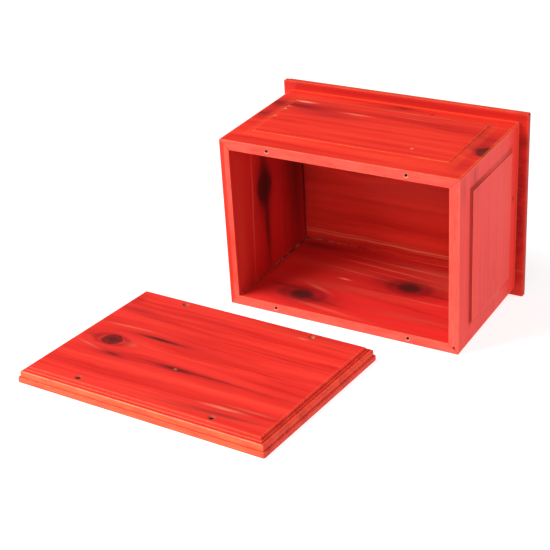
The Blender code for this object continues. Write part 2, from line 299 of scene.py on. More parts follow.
def field_loops(half, cove_sheen):
    """Loops of a wall's raised field: up the cove, round the field's edge and onto its face."""
    field_x = half - MARGIN_AT_SIDES
    near = MARGIN_AT_RIM
    far = WALL_LENGTH - MARGIN_AT_CAP

    def loop_at(grow, height, wear=0.0, shade=0.0, radius=0.0):
        """The loop that lies grow outside the field's edge."""
        points = rectangle_loop((-field_x - grow, near - grow), (field_x + grow, far + grow), height, radius)
        return points, wear, shade

    loops = [loop_at(COVE_RUN + COVE_SUPPORT, 0.0)]
    for inset, height in cove_profile():
        # the cove's upper half gets painted shade
        shaded = 1.0 if inset > COVE_RUN / 2 else 0.0
        # on the front board the whole cove gets a faint painted sheen, carried as wear
        loops.append(loop_at(COVE_RUN - inset, height, wear=cove_sheen, shade=shaded))
    edge_centre = (FIELD_ARRIS, FIELD_RISE - FIELD_ARRIS)
    for inset, height in arc(edge_centre, FIELD_ARRIS, 180, 90, ARC_STEPS):
        loops.append(loop_at(-inset, height, wear=0.8, radius=FIELD_ARRIS))
    loops.append(loop_at(-FIELD_ARRIS - FIELD_SUPPORT, FIELD_RISE))
    return loops


def wall_loops(length, has_field, cove_sheen, low_gape):
    """Loops of a wall board from its inner face outwards; its ends are mitred, and the low one may gape."""
    half = length / 2

    def mitre_x(z, gape):
        """Where the board ends at height z: on the mitre, or on the rounded arris outside it."""
        reach = half + z
        if z > -ARRIS_RADIUS * (1 - math.sqrt(0.5)):
            reach = half - ARRIS_RADIUS + math.sqrt(max(0.0, ARRIS_RADIUS ** 2 - (z + ARRIS_RADIUS) ** 2))
        inner_share = max(0.0, -z / WALL_THICKNESS - GAPE_START) / (1 - GAPE_START)
        return reach - MITRE_KERF - gape * inner_share

    def loop_at(z, rim_y, wear=0.0):
        low = (-mitre_x(z, low_gape), rim_y)
        high = (mitre_x(z, 0.0), WALL_END)
        return rectangle_loop(low, high, z), wear, 0.0

    inner_x = half - WALL_THICKNESS - SUPPORT
    inner_face = rectangle_loop((-inner_x, SUPPORT), (inner_x, WALL_END - SUPPORT), -WALL_THICKNESS)
    loops = [(inner_face, 0.0, 0.0)]
    inner_centre = (RIM_INNER_EASE, -WALL_THICKNESS + RIM_INNER_EASE)
    for y, z in arc(inner_centre, RIM_INNER_EASE, 270, 180, ARC_STEPS):
        loops.append(loop_at(z, y, wear=0.35))
    for z in (-WALL_THICKNESS + RIM_INNER_EASE + RIM_SUPPORT, -WALL_THICKNESS / 2, -ARRIS_RADIUS):
        loops.append(loop_at(z, 0.0))
    outer_centre = (RIM_OUTER_EASE, -RIM_OUTER_EASE)
    for y, z in arc(outer_centre, RIM_OUTER_EASE, 180, 90, 2 * ARC_STEPS):
        loops.append(loop_at(z, y, wear=0.5))
    outer_x = half - ARRIS_RADIUS - MITRE_KERF - SUPPORT
    outer_face = rectangle_loop((-outer_x, RIM_OUTER_EASE + SUPPORT), (outer_x, WALL_END - SUPPORT), 0.0)
    loops.append((outer_face, 0.0, 0.0))
    if has_field:
        loops.extend(field_loops(half, cove_sheen))
    return loops


def moulding_profile():
    """(inset, height, wear, shade) up the moulded edge from the flat face to the field."""
    steps = []

    def add(inset, height, wear=0.0, shade=0.0):
        steps.append((inset, height, wear, shade))

    for inset, height in arc((FLAT_FACE_EASE, FLAT_FACE_EASE), FLAT_FACE_EASE, 270, 180, ARC_STEPS):
        add(inset, height, wear=0.6)
    add(0.0, FLANGE_BARE_FROM, wear=0.95)
    add(0.0, FLANGE_HEIGHT - FLANGE_ROUND - FLANGE_BARE_GAP, wear=0.95)
    for inset, height in arc((FLANGE_ROUND, FLANGE_HEIGHT - FLANGE_ROUND), FLANGE_ROUND, 180, 90, ARC_STEPS):
        add(inset, height, wear=0.7)
    # shade here is painted shade: at the nose's foot, in the quirk and at the foot of the field's wall
    add(NOSE_INSET - NOSE_FOOT_RUN, FLANGE_HEIGHT, shade=1.5)
    add(NOSE_INSET, FLANGE_HEIGHT + NOSE_FOOT_RISE, shade=1.5)
    add(NOSE_INSET, FLANGE_HEIGHT + NOSE_BARE_RISE, wear=1.0)
    for inset, height in arc((NOSE_INSET + NOSE_ROUND, NOSE_HEIGHT), NOSE_ROUND, 180, 90, 2 * ARC_STEPS):
        share = (inset - NOSE_INSET) / NOSE_ROUND
        # glint marks the stretch of the round that gets a painted highlight, carried as negative shade
        glint = 1.0 if GLINT_SHARES[0] < share < GLINT_SHARES[1] else 0.0
        add(inset, height, wear=1.0 - 0.8 * share, shade=-glint)
    add(QUIRK_INSET - QUIRK_RUN, QUIRK_HEIGHT + QUIRK_RISE, wear=0.1, shade=0.3)
    add(QUIRK_INSET, QUIRK_HEIGHT, shade=0.8)
    bead_centre = (QUIRK_INSET + BEAD_RADIUS, BEAD_CENTRE_HEIGHT)
    for inset, height in arc(bead_centre, BEAD_RADIUS, 180, BEAD_END_ANGLE, 2 * ARC_STEPS):
        add(inset, height, wear=0.3)
    add(FIELD_WALL_INSET - FIELD_WALL_SLOPE, FIELD_WALL_FOOT, wear=0.1, shade=0.1)
    field_centre = (FIELD_WALL_INSET + FIELD_EDGE_ROUND, BOARD_THICKNESS - FIELD_EDGE_ROUND)
    for inset, height in arc(field_centre, FIELD_EDGE_ROUND, 180, 90, ARC_STEPS):
        add(inset, height, wear=0.3)
    add(FIELD_WALL_INSET + FIELD_EDGE_ROUND + SUPPORT, BOARD_THICKNESS)
    return steps


def moulded_board_loops():
    """Loops of a moulded board from its flat face up to its field."""
    inner = FLAT_FACE_EASE + SUPPORT
    loops = [(centred_loop(BOARD_HALF_X - inner, BOARD_HALF_Y - inner, 0.0), 0.0, 0.0)]
    for inset, height, wear, shade in moulding_profile():
        if height < FLANGE_HEIGHT + NOSE_FOOT_RISE / 2:
            radius = max(PLAN_RADIUS - inset, PLAN_RADIUS_MIN)
        else:
            radius = max(NOSE_CORNER - (inset - NOSE_INSET), NOSE_CORNER_MIN)
        points = centred_loop(BOARD_HALF_X - inset, BOARD_HALF_Y - inset, height, radius)
        loops.append((points, wear, shade))
    return loops


# ------------------------ shader helpers

SEED_STEP = (7.3, 3.1, 5.7)  # from one seed's patch of noise to the next's, in cells


class Signal:
    """A number or vector in a node tree, with arithmetic that adds the nodes."""

    def __init__(self, tree, socket):
        self.tree = tree
        self.socket = socket

    def math(self, operation, *others, clamp=False):
        node = self.tree.nodes.new('ShaderNodeMath')
        node.operation = operation
        node.use_clamp = clamp
        self.tree.links.new(self.socket, node.inputs[0])
        for index, other in enumerate(others, start=1):
            if isinstance(other, Signal):
                self.tree.links.new(other.socket, node.inputs[index])
            else:
                node.inputs[index].default_value = other
        return Signal(self.tree, node.outputs[0])

    def __add__(self, other):
        return self.math('ADD', other)

    def __sub__(self, other):
        return self.math('SUBTRACT', other)

    def __mul__(self, other):
        return self.math('MULTIPLY', other)

    def clamped(self):
        return self.math('ADD', 0.0, clamp=True)

    def between(self, low, high):
        """low where this is 0 and high where it is 1."""
        return self * (high - low) + low

    def ramp(self, start, end):
        """0 up to start and 1 from end on, smooth between; start may be the larger."""
        node = self.tree.nodes.new('ShaderNodeMapRange')
        node.interpolation_type = 'SMOOTHSTEP'
        self.tree.links.new(self.socket, node.inputs['Value'])
        node.inputs['From Min'].default_value = min(start, end)
        node.inputs['From Max'].default_value = max(start, end)
        node.inputs['To Min'].default_value = 0.0 if start < end else 1.0
        node.inputs['To Max'].default_value = 1.0 if start < end else 0.0
        return Signal(self.tree, node.outputs['Result'])


def combine(tree, x, y, z):
    node = tree.nodes.new('ShaderNodeCombineXYZ')
    for socket, value in zip(node.inputs, (x, y, z)):
        if isinstance(value, Signal):
            tree.links.new(value.socket, socket)
        else:
            socket.default_value = value
    return Signal(tree, node.outputs[0])


def split(tree, vector):
    node = tree.nodes.new('ShaderNodeSeparateXYZ')
    tree.links.new(vector.socket, node.inputs[0])
    return [Signal(tree, output) for output in node.outputs]


def millimetres(tree):
    """The piece's own coordinates in millimetres."""
    coordinates = tree.nodes.new('ShaderNodeTexCoord')
    scale = tree.nodes.new('ShaderNodeVectorMath')
    scale.operation = 'SCALE'
    scale.inputs['Scale'].default_value = 1 / MM
    tree.links.new(coordinates.outputs['Object'], scale.inputs[0])
    return Signal(tree, scale.outputs[0])


def noise(tree, vector, cell, seed, detail=2.0, roughness=0.5, distortion=0.0):
    """Noise from 0 to 1 whose cells are cell = (x, y, z) millimetres across."""
    mapping = tree.nodes.new('ShaderNodeMapping')
    mapping.inputs['Location'].default_value = tuple(seed * step for step in SEED_STEP)
    mapping.inputs['Scale'].default_value = tuple(1 / length for length in cell)
    tree.links.new(vector.socket, mapping.inputs['Vector'])
    node = tree.nodes.new('ShaderNodeTexNoise')
    node.inputs['Scale'].default_value = 1.0
    node.inputs['Detail'].default_value = detail
    node.inputs['Roughness'].default_value = roughness
    node.inputs['Distortion'].default_value = distortion
    tree.links.new(mapping.outputs['Vector'], node.inputs['Vector'])
    return Signal(tree, node.outputs['Fac'])


def within_ellipse(tree, plane, x, y, half_length, half_width, slope=0.0):
    """The plane's coordinates, scaled and turned so that the ellipse becomes the unit circle."""
    mapping = tree.nodes.new('ShaderNodeMapping')
    mapping.vector_type = 'TEXTURE'
    mapping.inputs['Location'].default_value = (x, y, 0.0)
    mapping.inputs['Rotation'].default_value = (0.0, 0.0, math.atan(slope))
    mapping.inputs['Scale'].default_value = (half_length, half_width, 1.0)
    tree.links.new(plane.socket, mapping.inputs['Vector'])
    return mapping.outputs['Vector']


def ellipse(tree, plane, *shape):
    """0 at the ellipse's middle and 1 on its outline."""
    length = tree.nodes.new('ShaderNodeVectorMath')
    length.operation = 'LENGTH'
    tree.links.new(within_ellipse(tree, plane, *shape), length.inputs[0])
    return Signal(tree, length.outputs['Value'])


def blob(tree, plane, *shape):
    """A soft ellipse: 1 at its middle, falling off along a bell curve."""
    place = within_ellipse(tree, plane, *shape)
    square = tree.nodes.new('ShaderNodeVectorMath')
    square.operation = 'DOT_PRODUCT'
    tree.links.new(place, square.inputs[0])
    tree.links.new(place, square.inputs[1])
    return (Signal(tree, square.outputs['Value']) * -1.0).math('EXPONENT')


def highest(signals):
    """The largest of some signals."""
    result = signals[0]
    for signal in signals[1:]:
        result = result.math('MAXIMUM', signal)
    return result


def mix_color(tree, factor, first, second):
    """Colour from first to second as factor goes from 0 to 1, where it is held; either may be a socket."""
    node = tree.nodes.new('ShaderNodeMix')
    node.data_type = 'RGBA'
    tree.links.new(factor.socket, node.inputs[0])
    for socket, value in ((node.inputs[6], first), (node.inputs[7], second)):
        if isinstance(value, tuple):
            socket.default_value = (*value, 1.0)
        else:
            tree.links.new(value, socket)
    return node.outputs[2]


def attribute(tree, name):
    node = tree.nodes.new('ShaderNodeAttribute')
    node.attribute_name = name
    return Signal(tree, node.outputs['Fac'])


def facing_along_grain(tree):
    """1 on faces that cut across the grain, from the piece's own normal."""
    coordinates = tree.nodes.new('ShaderNodeTexCoord')
    normal = split(tree, Signal(tree, coordinates.outputs['Normal']))
    return normal[0].math('ABSOLUTE').ramp(0.55, 0.9)


def new_material(name):
    material = bpy.data.materials.new(name)
    material.use_nodes = True
    return material, material.node_tree, material.node_tree.nodes['Principled BSDF']


def add_bump(tree, shader, height, distance, strength=1.0):
    """Relief that stands distance high where height is 1."""
    bump = tree.nodes.new('ShaderNodeBump')
    bump.inputs['Distance'].default_value = distance
    bump.inputs['Strength'].default_value = strength
    tree.links.new(height.socket, bump.inputs['Height'])
    tree.links.new(bump.outputs['Normal'], shader.inputs['Normal'])


# ------------------------ stained wood

STAIN = (0.68, 0.029, 0.0165)
STAIN_PINK = (0.69, 0.046, 0.048)
STAIN_DEEP = (0.40, 0.0065, 0.0055)
STAIN_PALE = (0.76, 0.075, 0.034)
STAIN_VIOLET = (0.25, 0.0070, 0.0115)
# painted shade for the coves and quirks, and the dark line along each mitre
JOINT_AND_SHADE_DARK = (0.30, 0.0030, 0.0015)
STAIN_INSIDE = (0.62, 0.0210, 0.0190)
EDGE_ORANGE = (0.74, 0.150, 0.050)
# a painted reflection of the cap on the walls' outer faces
CAP_REFLECTION_ORANGE = (0.82, 0.085, 0.020)
RIM_PINK = (0.80, 0.130, 0.090)
# pale flecks in the figure, and the painted highlight on a moulding's nose
PALE_FLECK_AND_HIGHLIGHT = (0.85, 0.27, 0.15)
# the knots' brown, also used for dark streaks that are painted shade in inside corners
KNOT_AND_SHADE_BROWN = (0.060, 0.0095, 0.0080)
HOLE_DARK = (0.040, 0.008, 0.006)
HOLE_RED = (0.16, 0.02, 0.012)
SINK_DARK = (0.24, 0.012, 0.008)
SINK_PALE = (0.62, 0.10, 0.05)
CHAMFER_DARK = (0.55, 0.11, 0.06)
CHAMFER_PALE = (0.85, 0.42, 0.28)
VARNISH_ROUGHNESS = 0.22
VARNISH_WEIGHT = 0.13
VARNISH_SPECULAR = 0.06

# Sizes of the wood's patterns in millimetres; a cell is (along the grain, across it, through the board).
DRIFT_CELL = (120, 45, 45)
FLUTTER_CELL = (26, 9, 9)
BAND_CELL = (210, 13, 22)
STREAK_CELL = (95, 2.3, 4.0)
FIBRE_CELL = (16, 0.42, 0.6)
PORE_CELL = (4.0, 0.5, 0.5)
KNOT_EDGE_CELL = (5, 5, 5)
KNOT_CELL = (3.5, 3.5, 3.5)
BLOTCH_CELL = (5, 9, 1.6)
SCUFF_CELL = (22, 5, 5)
TORN_CELL = (0.8, 0.3, 0.3)
DRIFT_SHIFT = 7.0  # how far the grain wanders across the board
FLUTTER_SHIFT = 2.6  # and how far it trembles
OUTLINE_FLUTTER = (5.0, 2.4)  # how far a streak's or a knot's outline trembles, along and across
RING_SPACING = 7.5
PITH_DEPTH = 46.0  # how far below the outer face the tree's middle lay
PITH_WANDER = 30.0  # how far it may lie to one side

# How strongly each pattern shows in the stain's tone.
BAND_TONE = 2.4
STREAK_TONE = 0.75
FIBRE_TONE = 0.30
LATE_WOOD_TONE = 0.13
PALER_TONE = 0.55
DEEPER_TONE = 0.85

# A knot's parts; lengths are shares of its radius.
KNOT_BEND = 2.2  # how far to its side the grain bends
KNOT_LENGTH = 1.15
SWIRL_WIDTH = 1.9
SWIRL_RINGS = 15.0  # the pace of the rings in the swirl, in radians

# Where marks show, in a board's own millimetres: not at the first place, in full at the second.
INNER_Z = -WALL_THICKNESS / MM
CAP_Y = WALL_LENGTH / MM
BOARD_END = BOARD_HALF_X / MM
RIM_FADE = (0.6, 0.1)  # y, for the rim's own face
RIM_INNER_FADE = (-3.6, -5.0)  # z, for the inner half of the rim
HOLLOW_SHADE_FADE = (70.0, 30.0)  # y, for the full painted shade in the coves
INSIDE_FADE = (INNER_Z + 0.6, INNER_Z + 0.1)
INSIDE_RIM_FADE = (0.1, 2.0)  # y, for the inner stain
MITRE_FADE = (-0.42, -0.18)  # from the mitre's plane
CAP_REFLECTION_FADE = (CAP_Y - 2.8, CAP_Y - 1.4)
CAP_REFLECTION_OUTER_FADE = (INNER_Z + 1.1, INNER_Z + 2.1)
GLINT_FADE = (BOARD_END - 3.0, BOARD_END - 6.0)  # x, for a nose's painted highlight

# How fully each mark covers the stain below it.
VIOLET_COVER = 1.5
BROWN_COVER = 1.25
SWIRL_COVER = 0.95
INSIDE_COVER = 0.75
MITRE_COVER = 0.6
CAP_REFLECTION_COVER = 0.55


class Look:
    """How one board's wood looks; its places are in the board's own millimetres."""

    knots = ()  # (x, y, radius, reach of the swirl along the grain)
    dark = ()  # brown streaks and painted corner shade: (x, y, half length, half width, strength[, slope])
    light = ()  # pale streaks and flecks, given alike
    violet = ()  # deeply stained streaks, given alike
    contrast = 1.0  # of the grain
    tint = 0.0  # deeper stain below 0
    pink = 0.0  # how far the stain leans to pink
    hollow_shade = 0.3  # how dark the painted shade in the coves and quirks is
    end_stain = 0.9  # how much the end grain has drunk
    edge_wear = 1.0  # how much the edges have lost
    outer_rim_pale = 1.0  # how worn the outer half of the rim is
    knot_blur = 0.0  # how softly the knots end


class Grain:
    """One board's coordinates in millimetres, and the patterns that its wood is drawn from."""

    def __init__(self, tree, seed, knots):
        self.place = millimetres(tree)
        self.x, self.y, self.z = split(tree, self.place)
        drift = noise(tree, self.place, DRIFT_CELL, seed) - 0.5
        flutter = noise(tree, self.place, FLUTTER_CELL, seed + 1, detail=1.0) - 0.5
        warped_x = self.x + flutter * OUTLINE_FLUTTER[0]
        self.warped = combine(tree, warped_x, self.y + flutter * OUTLINE_FLUTTER[1], 0.0)
        across = self.y + drift * DRIFT_SHIFT + flutter * FLUTTER_SHIFT
        across = bend_round_knots(tree, combine(tree, self.x, self.y, 0.0), across, knots)
        along = combine(tree, self.x, across, self.z)
        self.bands = noise(tree, along, BAND_CELL, seed + 2, detail=3.0, roughness=0.55)
        self.streaks = noise(tree, along, STREAK_CELL, seed + 3, detail=4.0, roughness=0.6)
        self.fibres = noise(tree, along, FIBRE_CELL, seed + 4, detail=2.0, roughness=0.6)
        self.pores = noise(tree, self.place, PORE_CELL, seed + 5, detail=1.0)
        self.late_wood = growth_rings(across, self.z, self.bands, seed)
        scuffs = noise(tree, self.place, SCUFF_CELL, seed + 8, detail=4.0, roughness=0.7)
        self.scuffs = scuffs.ramp(0.25, 0.75)
        self.end_grain = facing_along_grain(tree)
        # hollow: painted shade where above 0, and a painted highlight where below 0
        self.hollow = attribute(tree, "shade")


def bend_round_knots(tree, plane, across, knots):
    """The grain's across-coordinate, spread apart so that its lines flow round each knot."""
    for x, y, radius, reach in knots:
        near = blob(tree, plane, x, y, reach, KNOT_BEND * radius)
        across = across - (across - y) * near * 0.8
    return across


def growth_rings(across, z, bands, seed):
    """Thin darker late wood at the outer side of each growth ring."""
    sideways = across - PITH_WANDER * math.sin(3.0 * seed)
    below = z + PITH_DEPTH
    radius = (sideways * sideways + below * below).math('SQRT')
    phase = (radius * (1 / RING_SPACING) + bands * 1.4).math('FRACT')
    return phase.ramp(0.55, 0.95) * phase.ramp(1.0, 0.96)


def plain_stain(tree, grain, look):
    """The stain's colour where only the grain shows."""
    tone = (grain.bands - 0.5) * (BAND_TONE * look.contrast)
    tone = tone + (grain.streaks - 0.5) * (STREAK_TONE * look.contrast)
    tone = tone + (grain.fibres - 0.5) * FIBRE_TONE + look.tint
    stain = tuple(red + (rosy - red) * look.pink for red, rosy in zip(STAIN, STAIN_PINK))
    color = mix_color(tree, tone * PALER_TONE, stain, STAIN_PALE)
    color = mix_color(tree, tone * -DEEPER_TONE, color, STAIN_DEEP)
    return mix_color(tree, grain.late_wood * (LATE_WOOD_TONE * look.contrast), color, STAIN_DEEP)


def stain_inside(tree, grain, color):
    """A deeper, cooler stain on a wall's inner face."""
    inside = grain.z.ramp(*INSIDE_FADE) * grain.y.ramp(*INSIDE_RIM_FADE)
    return mix_color(tree, inside * INSIDE_COVER, color, STAIN_INSIDE)


def add_streaks(tree, grain, color, paint, streaks, texture, cover=1.0):
    """Soft streaks of a paint over a colour, broken up by a texture."""
    for x, y, half_length, half_width, strength, *slope in streaks:
        spot = blob(tree, grain.warped, x, y, half_length, half_width, *slope)
        color = mix_color(tree, spot * texture * (strength * cover), color, paint)
    return color


def add_knots(tree, grain, color, look, seed):
    """Brown knots, each in ringed and deeply stained wood that swirls round it."""
    jitter = noise(tree, grain.warped, KNOT_EDGE_CELL, seed + 9).between(-0.25, 0.25)
    cores = []
    swirls = []
    for x, y, radius, reach in look.knots:
        from_core = ellipse(tree, grain.warped, x, y, KNOT_LENGTH * radius, radius) + jitter * 0.5
        cores.append(from_core.ramp(1.06, 0.90 - look.knot_blur))
        from_swirl = ellipse(tree, grain.warped, x, y, reach, SWIRL_WIDTH * radius)
        rings = ((from_swirl + jitter * 0.3) * SWIRL_RINGS).math('SINE') * 0.34 + 0.66
        swirls.append(from_swirl.ramp(1.15, 0.10) * rings)
    color = mix_color(tree, highest(swirls) * SWIRL_COVER, color, STAIN_VIOLET)
    core_grain = noise(tree, grain.place, KNOT_CELL, seed + 6, detail=3.0, roughness=0.6)
    return mix_color(tree, highest(cores) * core_grain.between(0.58, 0.98), color, KNOT_AND_SHADE_BROWN)


def add_figure(tree, grain, color, look, seed):
    """The board's own violet clouds, knots, and dark and pale streaks; a few dark streaks are painted shade
    in inside corners.
    """
    broken = grain.streaks.ramp(0.30, 0.62).between(0.5, 1.0)
    color = add_streaks(tree, grain, color, STAIN_VIOLET, look.violet, broken, VIOLET_COVER)
    if look.knots:
        color = add_knots(tree, grain, color, look, seed)
    frayed = grain.fibres.between(0.75, 1.35)
    color = add_streaks(tree, grain, color, KNOT_AND_SHADE_BROWN, look.dark, frayed, BROWN_COVER)
    return add_streaks(tree, grain, color, PALE_FLECK_AND_HIGHLIGHT, look.light, grain.fibres.between(0.7, 1.2))


def stain_end_grain(tree, grain, color, look, seed):
    """End grain drinks in more stain, in blotches."""
    blotches = noise(tree, grain.place, BLOTCH_CELL, seed + 7, detail=3.0, roughness=0.6, distortion=1.2)
    drunk = blotches.ramp(0.35, 0.65).between(0.35, 1.0)
    return mix_color(tree, grain.end_grain * drunk * look.end_stain, color, STAIN_VIOLET)


def paint_hollow_shade(tree, grain, color, look, half_length):
    """Hollows get painted shade. In a wall's cove it is mostly near the rim, and little at the +x end."""
    shaded = grain.hollow * look.hollow_shade
    if half_length > 0:
        field_end = half_length - MARGIN_AT_SIDES / MM
        shaded = shaded * grain.y.ramp(*HOLLOW_SHADE_FADE).between(0.4, 1.0)
        shaded = shaded * grain.x.ramp(field_end + 0.5, field_end - 0.5).between(0.3, 1.0)
    return mix_color(tree, shaded, color, JOINT_AND_SHADE_DARK)


def wear_edges_and_paint_highlight(tree, grain, color, look):
    """Sanded edges lose their stain, and a moulding's nose gets a painted highlight along its long sides."""
    wear = attribute(tree, "wear") * grain.end_grain.between(1.0, 0.15) * look.edge_wear
    color = mix_color(tree, wear * grain.scuffs.between(0.35, 0.85), color, EDGE_ORANGE)
    # the painted highlight along a nose's long sides, broken up by the scuffs
    glint = (grain.hollow * -1.0).clamped() * grain.x.math('ABSOLUTE').ramp(*GLINT_FADE)
    return mix_color(tree, glint * grain.scuffs.between(0.15, 0.85), color, PALE_FLECK_AND_HIGHLIGHT)


def mark_rim(tree, grain, color, look, half_length):
    """A wall's rim is rubbed pink, with a dark line along each mitre."""
    rim = grain.y.ramp(*RIM_FADE)
    pale = grain.z.ramp(*RIM_INNER_FADE).between(look.outer_rim_pale, 1.0)
    color = mix_color(tree, rim * pale * grain.scuffs.between(0.25, 0.65), color, RIM_PINK)
    mitre = (grain.x.math('ABSOLUTE') - grain.z - half_length).ramp(*MITRE_FADE)
    return mix_color(tree, rim * mitre * MITRE_COVER, color, JOINT_AND_SHADE_DARK)


def paint_cap_reflection(tree, grain, color):
    """A painted reflection of the cap: an orange band where a wall's outer face meets the cap."""
    reflected_band = grain.y.ramp(*CAP_REFLECTION_FADE) * grain.z.ramp(*CAP_REFLECTION_OUTER_FADE)
    return mix_color(tree, reflected_band * CAP_REFLECTION_COVER, color, CAP_REFLECTION_ORANGE)


def wood(name, seed, look, half_length=0.0):
    """Stained wood for one board; half_length is half a wall's length, or 0 for a moulded board."""
    is_wall = half_length > 0
    material, tree, shader = new_material(name)
    grain = Grain(tree, seed, look.knots)
    color = plain_stain(tree, grain, look)
    if is_wall:
        color = stain_inside(tree, grain, color)
    color = add_figure(tree, grain, color, look, seed)
    color = stain_end_grain(tree, grain, color, look, seed)
    color = paint_hollow_shade(tree, grain, color, look, half_length)
    color = wear_edges_and_paint_highlight(tree, grain, color, look)
    if is_wall:
        color = mark_rim(tree, grain, color, look, half_length)
        color = paint_cap_reflection(tree, grain, color)
    tree.links.new(color, shader.inputs['Base Color'])

    roughness = grain.streaks * 0.18 + grain.pores * 0.12 + 0.34
    tree.links.new(roughness.socket, shader.inputs['Roughness'])
    shader.inputs['Specular IOR Level'].default_value = VARNISH_SPECULAR
    shader.inputs['Coat Weight'].default_value = VARNISH_WEIGHT
    shader.inputs['Coat Roughness'].default_value = VARNISH_ROUGHNESS
    relief = grain.fibres * 0.55 + grain.streaks * 0.9 + grain.pores * 0.25 + grain.late_wood * 0.35
    add_bump(tree, shader, relief, 0.05 * MM, 0.6)
    return material


def drilled_wood(name, dark, light):
    """Torn fibres inside a drilled hole or on its chamfer."""
    material, tree, shader = new_material(name)
    place = millimetres(tree)
    fibres = noise(tree, place, TORN_CELL, 3, detail=3.0)
    color = mix_color(tree, fibres.ramp(0.35, 0.75), dark, light)
    tree.links.new(color, shader.inputs['Base Color'])
    shader.inputs['Roughness'].default_value = 0.8
    add_bump(tree, shader, fibres, 0.15 * MM)
    return material


# ------------------------ each board's look

class BaseLook(Look):
    contrast = 1.25
    tint = -0.12
    pink = 0.2
    end_stain = 0.15
    hollow_shade = 0.10
    knots = ((-82.4, -9.9, 8.8, 31),)
    dark = (
        (-45, 9.5, 22, 1.7, 0.80), (-66, -30.5, 9, 2.2, 0.62), (-4, -27, 14, 2.8, 0.65),
        (28, -26.5, 60, 1.0, 0.42), (66, -70.5, 34, 2.0, 0.35, 0.06), (-102, -9.9, 8, 3.0, 0.25),
        (62, 31, 48, 0.9, 0.25), (90, 66, 26, 1.4, 0.25), (20, -75, 40, 1.1, 0.20),
        (70, 0, 12, 1.0, 0.18), (76, -62, 14, 1.2, 0.2, 0.15), (-30, 9, 18, 0.8, 0.3),
    )
    light = (
        (66, -61, 17, 1.6, 0.50, 0.03), (-84, 16.5, 22, 1.2, 0.30, 0.06), (-3.4, -27, 1.4, 1.0, 0.55),
        (-96, -25, 14, 1.3, 0.28, -0.2), (60, 70, 4, 1.0, 0.5), (88, -55, 20, 1.2, 0.25),
        (-62, -9.9, 7, 3.0, 0.12),
    )
    violet = (
        (-96, 47, 22, 6, 0.34), (-66, 40, 26, 3.4, 0.20), (-40, 10, 46, 4.4, 0.32),
        (4, -27, 50, 5.0, 0.38), (-68, -32, 22, 4.2, 0.34), (66, 78, 56, 7, 0.30),
        (-110, 66, 6, 8, 0.25), (66, -69, 52, 4.4, 0.30, 0.05), (40, 8, 60, 3, 0.10),
        (-10, 60, 60, 4, 0.08), (96, -20, 20, 10, 0.10),
    )


class FrontLook(Look):
    contrast = 1.2
    tint = -0.06
    hollow_shade = 0.15
    knots = ((113, 59, 9.5, 22),)
    dark = (
        (-84, 92, 16, 3.4, 0.36, -0.12), (-50, 78, 24, 1.6, 0.20), (7, 124, 9, 2.6, 0.42),
        (70, 88, 30, 1.0, 0.22), (-108, 68, 7, 3.6, 0.35), (-108, 97, 6, 4.6, 0.35),
        (36, 119, 1.3, 1.3, 0.7), (-20, 118, 28, 1.3, 0.18), (60, 108, 40, 0.8, 0.15),
        (101, 62, 6, 3, 0.35), (106, 84, 8, 2, 0.2),
    )
    light = (
        (-81, 102.5, 9, 1.4, 0.95), (-25, 90, 12, 1.3, 0.50), (53, 39, 1.1, 1.1, 0.9),
        (-91.5, 88, 4, 1.0, 0.5), (-92, 81, 2.2, 1.2, 0.9), (-92, 63, 2.2, 1.2, 0.9),
        (30, 110, 36, 1.2, 0.28), (66, 112, 30, 0.9, 0.28), (30, 99, 26, 1.0, 0.18),
    )
    violet = (
        (-72, 94, 32, 9, 0.62), (-104, 80, 6, 32, 0.30), (-44, 80, 40, 7, 0.30),
        (-106, 68, 9, 7, 0.38), (-106, 95, 9, 8, 0.38), (4, 121, 28, 6, 0.32),
        (-40, 112, 44, 6, 0.18), (66, 88, 44, 4, 0.18), (104, 72, 9, 20, 0.50),
        (104, 24, 8, 16, 0.30), (40, 100, 50, 5, 0.12),
    )


class RightLook(Look):
    pink = 0.3
    contrast = 0.5
    hollow_shade = 0.95
    dark = (
        (-72, 31, 8, 1.8, 0.40), (34, 73, 9, 1.2, 0.25), (-12.6, 121, 2.0, 1.6, 0.7),
        (-60, 92, 20, 0.8, 0.12), (10, 60, 46, 0.7, 0.10),
    )
    light = ((20, 46, 60, 0.7, 0.14), (-20, 84, 50, 0.7, 0.12))
    violet = ((-70, 8, 14, 6, 0.22), (-66, 34, 20, 5, 0.20), (50, 66, 24, 3, 0.10))


